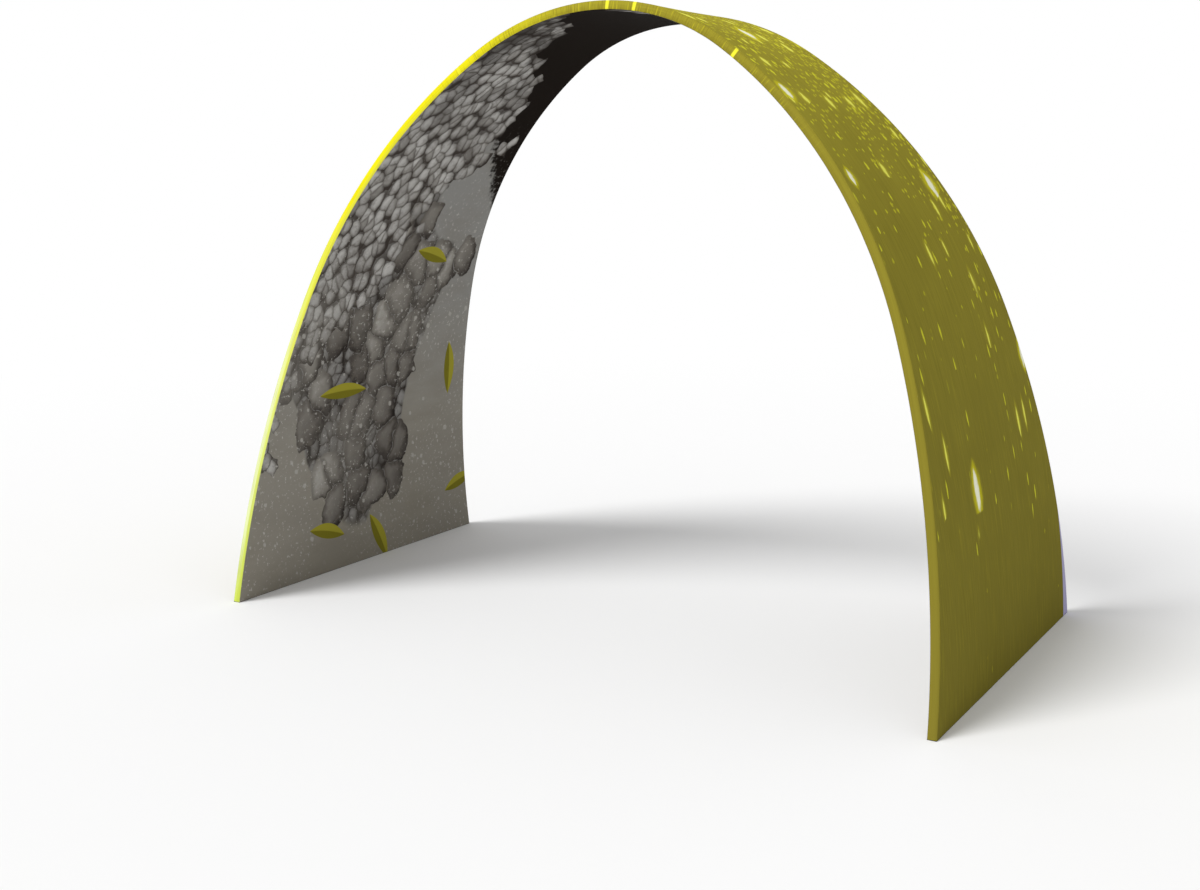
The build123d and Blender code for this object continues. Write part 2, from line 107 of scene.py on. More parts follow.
def hoop_arcs():
    """The five arcs of the arch's outer line, from the right foot over the crown to the left."""
    change = (LOWER_RADIUS - HAUNCH_RADIUS) * math.cos(LOWER_END)
    reach = LOWER_RADIUS * math.cos(FOOT_RAKE) - change
    crown_radius = HAUNCH_RADIUS - (reach - WIDTH / 2) / math.cos(HAUNCH_END)
    haunch_x = -(HAUNCH_RADIUS - crown_radius) * math.cos(HAUNCH_END)
    lower_rise = -LOWER_RADIUS * math.sin(FOOT_RAKE)
    haunch_rise = lower_rise + (LOWER_RADIUS - HAUNCH_RADIUS) * math.sin(LOWER_END)
    crown_rise = haunch_rise + (HAUNCH_RADIUS - crown_radius) * math.sin(HAUNCH_END)
    lower = (haunch_x - change, lower_rise, LOWER_RADIUS, FOOT_RAKE, LOWER_END)
    haunch = (haunch_x, haunch_rise, HAUNCH_RADIUS, LOWER_END, HAUNCH_END)
    crown = (0.0, crown_rise, crown_radius, HAUNCH_END, math.pi - HAUNCH_END)
    mirrored = [(-x, rise, radius, math.pi - end, math.pi - start)
                for x, rise, radius, start, end in (haunch, lower)]
    return [lower, haunch, crown, *mirrored]


ARCS = hoop_arcs()
CROWN_RADIUS = ARCS[2][2]
LINE_LENGTH = sum(radius * (end - start) for _, _, radius, start, end in ARCS)


def arc_at(angle):
    for arc in ARCS:
        if angle <= arc[4]:
            return arc
    return ARCS[-1]


def run_to(angle):
    """Length of the outer line from the right foot to where it faces this angle."""
    run = 0.0
    for _, _, radius, start, end in ARCS:
        run += radius * (min(max(angle, start), end) - start)
    return run


def across_and_up(angle, inset):
    """X and Z of a point inside the outer line, where the line faces this angle."""
    x, rise, radius, _, _ = arc_at(angle)
    reach = radius - inset
    return x + reach * math.cos(angle), (rise + reach * math.sin(angle)) * math.cos(LEAN)


def half_depth(z):
    return DEPTH / 2 - z * math.tan(LEAN)


def angle_above(z, inset):
    """The angle on the right leg where a line inset from the outer one is at this height."""
    x, rise, radius, _, _ = ARCS[0]
    return math.asin((z / math.cos(LEAN) - rise) / (radius - inset))


def stations(start, end):
    """Angles along the arch, closer than a step, that include the ends of its arcs."""
    angles = [start]
    for _, _, radius, low, high in ARCS:
        first, last = max(low, start), min(high, end)
        if last <= first:
            continue
        count = math.ceil(radius * (last - first) / STEP)
        angles += [first + (last - first) * i / count for i in range(1, count + 1)]
    return angles


def from_floor(inset):
    """The first and last angle of a piece of cloth that stands on the bottom gussets."""
    start = angle_above(CLOTH, inset)
    return start, math.pi - start


def new_object(name, vertices, faces, body="arch"):
    mesh = bpy.data.meshes.new(name)
    mesh.from_pydata(vertices, [], faces)
    piece = bpy.data.objects.new(name, mesh)
    bpy.context.scene.collection.objects.link(piece)
    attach(piece, body)
    return piece


def select_only(*pieces):
    bpy.ops.object.select_all(action="DESELECT")
    for piece in pieces:
        piece.select_set(True)
    bpy.context.view_layer.objects.active = pieces[0]


def smooth(piece, angle=40):
    select_only(piece)
    bpy.ops.object.shade_smooth_by_angle(angle=math.radians(angle))


def closed_shell(name, face, back):
    """A closed piece between two grids of points of the same size, a face and its back."""
    rows, width = len(face), len(face[0])
    vertices = [point for row in face for point in row] + [point for row in back for point in row]
    behind = rows * width
    faces = []
    for i in range(rows - 1):
        for j in range(width - 1):
            a, b = i * width + j, (i + 1) * width + j
            faces.append((a, b, b + 1, a + 1))
            faces.append((behind + a + 1, behind + b + 1, behind + b, behind + a))
    rim = list(range(width))
    rim += [i * width + width - 1 for i in range(1, rows)]
    rim += [(rows - 1) * width + j for j in range(width - 2, -1, -1)]
    rim += [i * width for i in range(rows - 2, 0, -1)]
    for a, b in zip(rim, rim[1:] + rim[:1]):
        faces.append((a, b, behind + b, behind + a))
    piece = new_object(name, vertices, faces)
    turn_outwards(piece)
    return piece


def turn_outwards(piece):
    select_only(piece)
    bpy.ops.object.mode_set(mode="EDIT")
    bpy.ops.mesh.select_all(action="SELECT")
    bpy.ops.mesh.normals_make_consistent(inside=False)
    bpy.ops.object.mode_set(mode="OBJECT")


def woven_sheet(name, rows):
    """A sheet of cloth from rows of points: each its place, the one behind it, and its pattern.

    The pattern coordinates are the distance along the arch, the distance across the cloth, and
    the distance from the nearest seam."""
    face = [[place for place, _, _ in row] for row in rows]
    back = [[place for _, place, _ in row] for row in rows]
    piece = closed_shell(name, face, back)
    pattern = [value for row in rows for _, _, cloth in row for value in cloth]
    attribute = piece.data.attributes.new("cloth", "FLOAT_VECTOR", "POINT")
    attribute.data.foreach_set("vector", pattern * 2)
    smooth(piece)
    return piece


def seam_corner():
    """The rounded corner from a seam on to a face: distances in from the edge and the face."""
    points = []
    for turn in (45, 60, 75, 90):
        along = SEAM_ROUND * (1 - math.cos(math.radians(turn)))
        sunk = SEAM_ROUND * (1 - math.sin(math.radians(turn)))
        crease = SEAM_CREASE * (90 - turn) / 45
        points.append((along + crease / 2, sunk + crease))
    return points


def slack(angle, away):
    """How far a panel leaves its line: nothing over a tube, the most between two."""
    bays = [angle_above(0.0, 0.0), SPREADERS[0], SPREADERS[1], math.pi / 2]
    mirrored = angle if angle <= math.pi / 2 else math.pi - angle
    for low, high in zip(bays, bays[1:]):
        if low <= mirrored <= high:
            bay = math.sin(math.pi * (mirrored - low) / (high - low))
            return PANEL_SLACK * bay * away
    return 0.0


def spreader_angles():
    """The angles at which the low and high spreaders lie."""
    angles = []
    for name, (x, rise, _, _, _) in (("right_low_spreader", ARCS[0]), ("right_high_spreader", ARCS[1])):
        low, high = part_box(name)
        centre_x, centre_z = (low[0] + high[0]) / 2, (low[2] + high[2]) / 2
        angles.append(math.atan2(centre_z / math.cos(LEAN) - rise, centre_x - x))
    return angles


SPREADERS = spreader_angles()


def panel(name, face_inset, inwards):
    """A panel over the whole arch. inwards is 1 on the outer face and -1 on the inner one."""
    corner = seam_corner()
    start, end = from_floor(face_inset)
    rows = []
    for angle in stations(start, end):
        _, z = across_and_up(angle, face_inset)
        half = half_depth(z)
        free = half - TUBE_STRIP
        front = [(-half + along, sunk) for along, sunk in [*corner, (SEAM_STRIP, 0.0)]]
        rear = [(-y, sunk) for y, sunk in reversed(front)]
        shares = [i / PANEL_COLUMNS for i in range(-PANEL_COLUMNS, PANEL_COLUMNS + 1)]
        middle = [(free * share, slack(angle, 1 - share**2)) for share in shares]
        row = []
        for y, sunk in [*front, *middle, *rear]:
            x, height = across_and_up(angle, face_inset + inwards * sunk)
            drift = max(sunk, 0.0) if abs(y) < free else 0.0
            back_x, back_height = across_and_up(angle, face_inset + inwards * (drift + SEWN_DEPTH))
            back = (back_x, y * (1 - SEWN_DEPTH / half), back_height)
            row.append(((x, y, height), back, (run_to(angle), y, half - abs(y))))
        rows.append(row)
    return woven_sheet(name, rows)


def edge_profile(low, high, low_is_seam, high_is_seam):
    """Across an edge strip: distances from the outer face, and in from the edge's plane."""
    corner = [(sunk, along) for along, sunk in seam_corner()]
    fold = [(0.0, CLOTH * 0.8), (0.0003, CLOTH * 0.25), (0.0009, 0.0)]
    first = [(low + face, edge) for face, edge in (corner if low_is_seam else fold)]
    last = [(high - face, edge) for face, edge in (corner if high_is_seam else fold)]
    a, b = first[-1][0], last[-1][0]
    middle = []
    for i in range(1, STRIP_COLUMNS):
        share = i / STRIP_COLUMNS
        proud = EDGE_CROWN * (1 - (2 * share - 1) ** 2)
        middle.append((a + (b - a) * share, -proud))
    return first + middle + last[::-1]


def edge_strip(name, side, profile, depth=SEWN_DEPTH, start=None, end=None):
    """A strip along the front edge, where side is -1, or along the rear edge, where it is 1."""
    if start is None:
        start, end = from_floor(BAND)
    middle = (profile[0][0] + profile[-1][0]) / 2
    rows = []
    for angle in stations(start, end):
        row = []
        for inset, behind in profile:
            x, z = across_and_up(angle, inset)
            back_inset = middle + (inset - middle) * BACK_SHARE
            back_x, back_z = across_and_up(angle, back_inset)
            front = (x, side * (half_depth(z) - behind), z)
            back = (back_x, side * (half_depth(back_z) - depth), back_z)
            seam = min(inset, BAND - inset)
            row.append((front, back, (run_to(angle), inset, seam)))
        rows.append(row)
    return woven_sheet(name, rows)


def bottom_gusset(name, side):
    """The strip of cloth that closes a leg underneath. side is 1 on the right."""
    rows = []
    outer, inner = across_and_up(FOOT_RAKE, 0.0)[0], across_and_up(FOOT_RAKE, BAND)[0]
    for i in range(GUSSET_ROWS + 1):
        y = -DEPTH / 2 + DEPTH * i / GUSSET_ROWS
        row = []
        for share in (0.0, 0.02, 0.25, 0.5, 0.75, 0.98, 1.0):
            x = side * (outer + (inner - outer) * share)
            rim = CLOTH * 0.3 if share in (0.0, 1.0) else 0.0
            row.append(((x, y, rim), (x, y, CLOTH), (y, share * BAND, min(share, 1 - share) * BAND)))
        rows.append(row)
    return woven_sheet(name, rows)


def finish_sheet(piece, node):
    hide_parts(node)
    return piece


def cover():
    """The fabric cover: two panels, the strips of both edges and the bottom gussets."""
    inner_length = LINE_LENGTH - INNER_SHORTER
    outer = panel("outer_cover", 0.0, 1)
    inner = panel("inner_cover", BAND, -1)
    finish_sheet(outer, "outer_fabric_panel")
    finish_sheet(inner, "inner_fabric_panel")
    middle = BAND / 2
    front = edge_strip("front_edge_cover", -1, edge_profile(0.0, BAND, True, True))
    outer_half = edge_profile(0.0, middle - STRIP_SLOT / 2, True, False)
    inner_half = edge_profile(middle + STRIP_SLOT / 2, BAND, False, True)
    rear_outer = edge_strip("rear_outer_edge_cover", 1, outer_half)
    rear_inner = edge_strip("rear_inner_edge_cover", 1, inner_half)
    finish_sheet(front, "front_edge_gusset")
    finish_sheet(rear_outer, "rear_edge_outer_strip")
    finish_sheet(rear_inner, "rear_edge_inner_strip")
    grounds = []
    for hand, side in HANDS:
        ground = bottom_gusset(hand + "_foot_cover", side)
        finish_sheet(ground, hand + "_bottom_gusset")
        grounds.append(ground)
    return outer, inner, front, rear_outer, rear_inner, grounds


class Value:
    """A number that varies over a surface, with the operators that the finishes use."""

    def __init__(self, finish, socket):
        self.finish = finish
        self.socket = socket

    def maths(self, operation, first, second):
        return self.finish.node("Math", {0: first, 1: second}, operation=operation).value()

    def __add__(self, other):
        return self.maths("ADD", self, other)

    __radd__ = __add__

    def __sub__(self, other):
        return self.maths("SUBTRACT", self, other)

    def __rsub__(self, other):
        return self.maths("SUBTRACT", other, self)

    def __mul__(self, other):
        return self.maths("MULTIPLY", self, other)

    __rmul__ = __mul__

    def __truediv__(self, other):
        return self.maths("DIVIDE", self, other)

    def __pow__(self, other):
        return self.maths("POWER", self, other)

    def least(self, other):
        return self.maths("MINIMUM", self, other)

    def most(self, other):
        return self.maths("MAXIMUM", self, other)

    def size(self):
        return self.maths("ABSOLUTE", self, 0.0)

    def wave(self):
        return self.maths("SINE", self, 0.0)

    def part(self):
        return self.maths("FRACT", self, 0.0)

    def above(self, level, blur):
        """0 below a level and 1 above it, with a soft step between."""
        ends = {"Value": self, "From Min": level - blur, "From Max": level + blur}
        node = self.finish.node("MapRange", ends, interpolation_type="SMOOTHSTEP")
        return node.value("Result")

    def below(self, level, blur):
        return 1 - self.above(level, blur)


class Node:
    def __init__(self, finish, made):
        self.finish = finish
        self.made = made

    def value(self, name=0):
        return Value(self.finish, self.made.outputs[name])


class Finish:
    """A procedural material round one shader."""

    def __init__(self, name, roughness, **settings):
        self.material = bpy.data.materials.new(name)
        self.material.use_nodes = True
        self.tree = self.material.node_tree
        self.shader = self.tree.nodes["Principled BSDF"]
        self.set("Roughness", roughness)
        for key, value in settings.items():
            self.set(key.replace("_", " "), value)

    def set(self, socket_name, value):
        for socket in self.shader.inputs:
            if socket.name.lower() == socket_name.lower():
                self.give(socket, value)
                return
        raise KeyError(socket_name)

    def give(self, socket, value):
        if isinstance(value, Value):
            self.tree.links.new(value.socket, socket)
        else:
            socket.default_value = value

    def node(self, kind, inputs=None, **settings):
        """Any node: its type, the values or links of its sockets, and its own settings."""
        made = self.tree.nodes.new("ShaderNode" + kind)
        stops = settings.pop("stops", None)
        for key, value in settings.items():
            setattr(made, key, value)
        if stops:
            ramp = made.color_ramp
            while len(ramp.elements) < len(stops):
                ramp.elements.new(0.5)
            for element, (position, colour) in zip(ramp.elements, stops):
                element.position = position
                element.color = colour
        for key, value in (inputs or {}).items():
            self.give(made.inputs[key], value)
        return Node(self, made)

    def mix(self, share, first, second):
        """Between two colours."""
        return self.node("Mix", {0: share, 6: first, 7: second}, data_type="RGBA").value(2)

    def ramp(self, share, stops):
        return self.node("ValToRGB", {0: share}, stops=stops).value(0)

    def cloth(self):
        """Along the arch, across the cloth, and in from the seam, in metres."""
        vector = self.node("Attribute", attribute_name="cloth").made.outputs["Vector"]
        parts = self.node("SeparateXYZ", {0: Value(self, vector)})
        return parts.value("X"), parts.value("Y"), parts.value("Z")

    def place(self):
        coordinates = self.node("TexCoord").made.outputs["Object"]
        parts = self.node("SeparateXYZ", {0: Value(self, coordinates)})
        return parts.value("X"), parts.value("Y"), parts.value("Z")

    def vector(self, x, y, z=0.0):
        return self.node("CombineXYZ", {0: x, 1: y, 2: z}).value(0)

    def noise(self, x, y, z=0.0, detail=2.0, rough=0.5):
        inputs = {"Vector": self.vector(x, y, z), "Scale": 1.0, "Detail": detail, "Roughness": rough}
        return self.node("TexNoise", inputs, noise_dimensions="3D").value(0)

    def cells(self, x, y, randomness, feature="F1"):
        """Scattered cells, one to each unit of x and y."""
        inputs = {"Vector": self.vector(x, y), "Scale": 1.0, "Randomness": randomness}
        return self.node("TexVoronoi", inputs, voronoi_dimensions="2D", feature=feature)

    def bump(self, height, depth, strength=1.0, below=None):
        inputs = {"Height": height, "Distance": depth, "Strength": strength}
        if below is not None:
            inputs["Normal"] = below
        return self.node("Bump", inputs).value("Normal")


def srgb(red, green, blue):
    """A colour from its three screen values, 0 to 255."""
    linear = []
    for screen in (red, green, blue):
        share = screen / 255
        linear.append(share / 12.92 if share <= 0.04045 else ((share + 0.055) / 1.055) ** 2.4)
    return (*linear, 1.0)


KNIT = 0.0011  # width of a rib of the knitted cloth
STITCH = 0.0034  # length of a stitch
STITCH_INSET = 0.0021  # from a seam to its row of stitches
PUCKER_REACH = 0.006  # how far from a seam the cloth puckers


def knit(finish, along, across, seam):
    """The relief of a fine knit, with stitches and small puckers beside the seams."""
    ribs = (across * (2 * math.pi / KNIT)).wave()
    loops = (along * (2 * math.pi / (KNIT * 1.4)) + ribs * 0.8).wave()
    weave = finish.bump(ribs * 0.5 + loops * 0.5, 0.00006, 0.35)
    waviness = finish.noise(along * 90, across * 30, detail=2)
    near = seam.below(PUCKER_REACH, PUCKER_REACH)
    puckers = finish.bump(waviness * near, 0.0012, 0.5, weave)
    row = (seam - STITCH_INSET).size().below(0.0005, 0.0002)
    thread = (along / STITCH).part().above(0.28, 0.08) * row
    return finish.bump(thread, 0.0003, 0.8, puckers), thread


def cloth_finish(name):
    """Matt polyester, which shines little even at a low angle."""
    return Finish(name, 0.9, specular_ior_level=0.02)


def height_share(along):
    """0 at either foot and 1 at the crown."""
    return 1 - (along * (2 / LINE_LENGTH) - 1).size()


def flecks(finish, along, across, size, cell, chance, swell=1.5):
    """Scattered pointed flecks that run along the arch, and a halo round each.

    size is a middling fleck's length and width, cell the room for one, along and across, and
    chance the share of them that show."""
    cells = finish.cells(along / cell[0], across / cell[1], 0.9)
    middle = finish.node("SeparateXYZ", {0: cells.value("Position")})
    luck = finish.node("SeparateColor", {0: cells.value("Color")})
    scale = luck.value(1) * 0.9 + 0.45
    end_to_end = (along / cell[0] - middle.value(0)) * (2 * cell[0]) / (scale * size[0])
    side_to_side = (across / cell[1] - middle.value(1)) * (2 * cell[1]) / (scale * size[1])
    ragged = finish.noise(end_to_end * 1.3 + luck.value(2) * 90, side_to_side * 1.5, detail=3, rough=0.65)
    reach = end_to_end * end_to_end + side_to_side.size() + (ragged - 0.5) * 1.1
    shown = (chance - luck.value(0)).above(0.0, 0.01)
    core = reach.below(0.55, 0.22) * shown
    halo = (reach / swell).below(0.8, 0.4) * shown
    return core, halo


def flecked(finish, ground, along, across, height):
    """Bright flecks of four sizes over a print, denser and finer towards the crown."""
    printed = height.above(0.2, 0.06)
    rise = height.above(0.55, 0.25)
    dense = (height * height * 0.95 + across * 0.5 - 0.14).most(0.03) * printed
    tiny, _ = flecks(finish, along + 5, across + 2, (0.024, 0.024), (0.026, 0.027), dense * rise * 1.6)
    small_size = (0.07 - rise * 0.034, rise * 0.014 + 0.016)
    small, _ = flecks(finish, along, across, small_size, (0.064, 0.055), dense * 1.2 + printed * 0.03)
    medium_size = (0.15 - rise * 0.07, rise * 0.02 + 0.03)
    many = dense * 0.7 + printed * 0.12
    medium, glow = flecks(finish, along + 9, across + 3, medium_size, (0.17, 0.1), many)
    large_size = (0.19 - rise * 0.03, rise * 0.05 + 0.07)
    large, halo = flecks(finish, along + 21, across + 7, large_size, (0.4, 0.3), printed * 0.55)
    ground = finish.mix(tiny * 0.8, ground, srgb(204, 199, 48))
    ground = finish.mix(small * 0.85, ground, srgb(222, 220, 56))
    ground = finish.mix(glow * 0.35, ground, srgb(196, 188, 46))
    ground = finish.mix(medium, ground, srgb(236, 234, 96))
    ground = finish.mix(halo * 0.8, ground, srgb(214, 206, 36))
    return finish.mix(large, ground, srgb(248, 248, 222))


def outer_print():
    """Olive yellow with a long grain, under a scatter of bright flecks."""
    finish = cloth_finish("outer_print_cloth")
    along, across, seam = finish.cloth()
    height = height_share(along)
    # Darker towards the feet and lighter towards the crown: partly the print's own colour and partly
    # painted shade
    ground = finish.ramp(height, [
        (0.0, srgb(122, 113, 43)),
        (0.3, srgb(136, 127, 48)),
        (0.55, srgb(149, 139, 49)),
        (0.8, srgb(163, 153, 51)),
        (1.0, srgb(164, 154, 49)),
    ])
    grain = finish.noise(along * 4, across * 120, detail=4, rough=0.7)
    ground = finish.mix(grain.above(0.54, 0.12) * 0.28, ground, srgb(104, 94, 30))
    light_grain = finish.noise(along * 6 + 40, across * 160, detail=3)
    ground = finish.mix(light_grain.above(0.6, 0.08) * 0.22, ground, srgb(176, 168, 52))
    cloud = finish.noise(along * 1.7, across * 2.5, detail=2)
    ground = finish.mix(cloud.above(0.55, 0.2) * 0.2, ground, srgb(116, 107, 36))
    ground = flecked(finish, ground, along, across, height)
    bare = unprinted_foot(finish, along, across)
    ground = finish.mix(bare, ground, srgb(176, 172, 206))
    normal, thread = knit(finish, along, across, seam)
    ground = finish.mix(thread * 0.3, ground, srgb(100, 92, 34))
    finish.set("Base Color", ground)
    finish.set("Normal", normal)
    return finish.material


PRINT_END = 0.727  # where the print stops at the foot of the right leg's outer face
BORDER_SLOPE = 0.057  # how fast the print's border nears the middle, up the leg
BORDER_RISE = 0.62  # how far up the leg the bare cloth reaches


def unprinted_foot(finish, along, across):
    """The wedge of bare cloth at the rear of the right foot, outside the print's border."""
    border = PRINT_END - along * BORDER_SLOPE
    return (across - border).above(0.0, 0.0008) * along.below(BORDER_RISE, 0.002)


def crown_rays(finish, ground, along, across, share):
    """Rays and bright bands across an edge strip, near the crown."""
    crown = (share - 0.48).size().below(0.13, 0.05)
    rays = finish.noise(along * 150, across * 12, detail=3)
    ground = finish.mix(rays.above(0.56, 0.06) * crown * 0.45, ground, srgb(128, 116, 34))
    bright_rays = finish.noise(along * 120 + 31, across * 9, detail=3)
    ground = finish.mix(bright_rays.above(0.6, 0.05) * crown * 0.5, ground, srgb(206, 196, 44))
    bands = finish.noise(along * 17 + 5, 0.0, detail=0)
    ground = finish.mix(bands.above(0.72, 0.012) * crown, ground, srgb(238, 232, 60))
    return finish.mix(bands.above(0.8, 0.01) * crown, ground, srgb(244, 244, 190))


def edge_print(name, right_leg_only):
    """The edge strip's print: olive on the right leg, bright yellow to pale green on the left."""
    finish = cloth_finish(name)
    along, across, seam = finish.cloth()
    share = along / LINE_LENGTH
    olive, gold, yellow = srgb(128, 118, 43), srgb(164, 154, 46), srgb(234, 224, 26)
    if right_leg_only:
        ground = finish.ramp(share, [(0.0, olive), (0.5, srgb(150, 140, 46)), (1.0, olive)])
    else:
        outer = finish.ramp(share, [
            (0.0, olive), (0.36, srgb(146, 136, 46)), (0.52, gold), (0.6, yellow), (0.72, yellow),
            (0.78, srgb(222, 228, 96)), (0.86, srgb(224, 231, 172)), (0.95, srgb(220, 230, 168)),
            (1.0, srgb(198, 214, 84)),
        ])
        inner = finish.ramp(share, [
            (0.0, olive), (0.36, srgb(138, 128, 43)), (0.52, srgb(156, 146, 42)), (0.6, srgb(222, 212, 28)),
            (0.78, srgb(222, 222, 76)), (0.88, srgb(219, 228, 120)), (1.0, srgb(194, 208, 84)),
        ])
        ground = finish.mix((across / BAND).above(0.55, 0.12), outer, inner)
    streak = finish.noise(along * 5, across * 260, detail=3)
    ground = finish.mix(streak.above(0.58, 0.1) * 0.25, ground, srgb(122, 112, 38))
    ground = crown_rays(finish, ground, along, across, share)
    normal, thread = knit(finish, along, across, seam)
    ground = finish.mix(thread * 0.35, ground, srgb(104, 96, 40))
    finish.set("Base Color", ground)
    finish.set("Normal", normal)
    return finish.material


def stones(finish, down, across, cell, sway):
    """Rounded stones that fill the cloth: how far in from the rim a point is, its share of
    light, and its stone's own tone and place."""
    bend = finish.noise(down * 2.6, across * 2.6, detail=4, rough=0.66) - 0.5
    bend_back = finish.noise(down * 2.6 + 9, across * 2.6 + 4, detail=4, rough=0.66) - 0.5
    x, y = (down + bend * sway) / cell[0], (across + bend_back * sway) / cell[1]
    edges = finish.cells(x, y, 1.0, "DISTANCE_TO_EDGE")
    cells = finish.cells(x, y, 1.0)
    middle = finish.node("SeparateXYZ", {0: cells.value("Position")})
    tone = finish.node("SeparateColor", {0: cells.value("Color")}).value(0)
    rim = edges.value("Distance").least((0.62 - cells.value("Distance")) * 0.6)
    dome = rim.above(0.1, 0.12) * 0.4 + 0.2
    light = dome - (x - middle.value(0)) * 0.3 - (y - middle.value(1)) * 0.35
    return rim, light, tone, middle.value(0) * cell[0], middle.value(1) * cell[1]


def leaves(finish, down, across):
    """Pointed leaves, each turned its own way, and the half of each that catches the light."""
    room = (0.62, 0.44)
    x, y = down / room[0], across / room[1]
    cells = finish.cells(x, y, 0.6)
    middle = finish.node("SeparateXYZ", {0: cells.value("Position")})
    luck = finish.node("SeparateColor", {0: cells.value("Color")})
    along, aside = (x - middle.value(0)) * room[0], (y - middle.value(1)) * room[1]
    turn = luck.value(1) * 2.4 - 0.4
    cosine, sine = (turn + math.pi / 2).wave(), turn.wave()
    tip = (along * cosine + aside * sine) / (luck.value(2) * 0.05 + 0.1)
    flank = (aside * cosine - along * sine) / 0.036 + tip * tip * 0.25
    inside = (1 - tip * tip - flank.size()).above(0.0, 0.03) * (0.5 - luck.value(0)).above(0.0, 0.01)
    return inside, flank.above(0.0, 0.08)


INNER_START = 33.875  # where the inner print's patterns begin, at the right foot


def shingle(finish, down, across, height, worn):
    """Pale shingle: its colour, and where it lies in banks below the crown."""
    rim, light, tone, stone_down, stone_across = stones(finish, down + 3, across + 5, (0.066, 0.05), 0.12)
    colour = finish.ramp(light * (tone * 0.8 + 0.65), [
        (0.0, srgb(86, 81, 77)),
        (0.35, srgb(140, 137, 132)),
        (0.7, srgb(174, 172, 168)),
        (1.0, srgb(194, 192, 188)),
    ])
    colour = finish.mix(worn.above(0.55, 0.05) * 0.35, colour, srgb(104, 98, 92))
    colour = finish.mix(rim.below(0.005, 0.03) * 0.7, colour, srgb(48, 41, 36))
    patch = finish.noise(down * 4.4 + 17, across * 4.4, detail=4, rough=0.65)
    colour = finish.mix(patch.above(0.6, 0.08) * 0.5, colour, srgb(82, 76, 71))
    gloom = patch.above(0.47, 0.1) * height.above(0.74, 0.14)
    colour = finish.mix(gloom * 0.75, colour, srgb(40, 35, 32))
    scatter = finish.noise(stone_down * 3.4, stone_across * 3.4, detail=4, rough=0.7)
    bank = scatter * 1.2 - (height_share(stone_down - INNER_START - 3) - 0.68).size() * 2.0
    return colour, (bank - (stone_across - 5) * 0.9).above(0.29, 0.004)


def dark_stones(finish, down, across, height, worn):
    """Dark stones: their colour, where they lie, and where the bed between them does."""
    rim, light, tone, stone_down, stone_across = stones(finish, down, across, (0.19, 0.14), 0.24)
    colour = finish.ramp(light * (tone * 0.9 + 0.6), [
        (0.0, srgb(44, 39, 36)),
        (0.35, srgb(86, 81, 76)),
        (0.7, srgb(132, 128, 121)),
        (1.0, srgb(168, 165, 158)),
    ])
    colour = finish.mix(worn.above(0.56, 0.06) * 0.35, colour, srgb(118, 112, 103))
    heap = finish.noise(stone_down * 1.3 + 2, stone_across * 1.5, detail=1) - stone_across.size() * 0.45
    heap = (heap - (height_share(stone_down - INNER_START) - 0.34).size() * 0.9).above(0.24, 0.004)
    bed = finish.noise(down * 1.3 + 2, across * 1.5, detail=1) - across.size() * 0.45
    bed = (bed - (height - 0.34).size() * 0.9).above(0.27, 0.012)
    return colour, heap * rim.above(0.012, 0.012), bed


def sprayed(finish, ground, down, across, height):
    """Pale dust, drops and specks over the lower part of a print."""
    cloud = finish.noise(down * 2.3 + 3, across * 2.6, detail=3)
    dust = cloud.above(0.52, 0.12) * height.below(0.42, 0.2)
    ground = finish.mix(dust * 0.4, ground, srgb(142, 138, 130))
    aslant, askew = down * 0.82 + across * 0.57, across * 0.82 - down * 0.57
    many = dust * 0.3 + height.below(0.5, 0.1) * 0.03
    drops, _ = flecks(finish, aslant, askew, (0.03, 0.028), (0.05, 0.05), many)
    ground = finish.mix(drops * 0.8, ground, srgb(172, 169, 162))
    spray = finish.noise(down * 55, across * 55, detail=3, rough=0.7)
    specks = spray.above(0.62, 0.03) * cloud.above(0.44, 0.12) * height.below(0.6, 0.12)
    return finish.mix(specks * 0.8, ground, srgb(184, 181, 174))


def inner_print():
    """Sand, dark stones and pale shingle under a near-black crown, with specks and a few leaves."""
    finish = cloth_finish("inner_print_cloth")
    along, across, seam = finish.cloth()
    down = along + INNER_START
    height = height_share(along)
    ground = finish.ramp(height, [
        (0.0, srgb(139, 134, 122)),
        (0.2, srgb(146, 142, 132)),
        (0.4, srgb(144, 143, 139)),
        (1.0, srgb(134, 133, 130)),
    ])
    ripple = finish.noise(down * 9, across * 2.6, detail=4, rough=0.6)
    ground = finish.mix(ripple.above(0.52, 0.14) * 0.3, ground, srgb(122, 116, 106))
    grit = finish.noise(down * 110, across * 110, detail=3, rough=0.7)
    ground = finish.mix(grit.above(0.66, 0.04) * 0.4, ground, srgb(98, 92, 84))
    worn = finish.noise(down * 30, across * 26, detail=5, rough=0.7)
    pebbles, banks = shingle(finish, down, across, height, worn)
    rocks, heaps, beds = dark_stones(finish, down, across, height, worn)
    ground = finish.mix(beds, ground, finish.mix(0.5, pebbles, srgb(34, 29, 26)))
    ground = finish.mix(heaps, ground, rocks)
    # the dark field over the crown, which comes further down at the rear
    night = height * 1.1 + across * 0.5 + (worn - 0.5) * 0.1
    ground = finish.mix(night.above(0.84, 0.012), ground, srgb(27, 22, 18))
    ground = finish.mix(banks, ground, pebbles)
    ground = sprayed(finish, ground, down, across, height)
    leaf, lit_half = leaves(finish, down + 2.3, across + 4.4)
    leaf = leaf * height.below(0.62, 0.01)
    blade = finish.mix(lit_half, srgb(120, 114, 34), srgb(158, 151, 52))
    ground = finish.mix(leaf, ground, blade)
    normal, thread = knit(finish, along, across, seam)
    ground = finish.mix(thread * 0.4, ground, srgb(84, 80, 92))
    finish.set("Base Color", ground)
    finish.set("Normal", normal)
    return finish.material


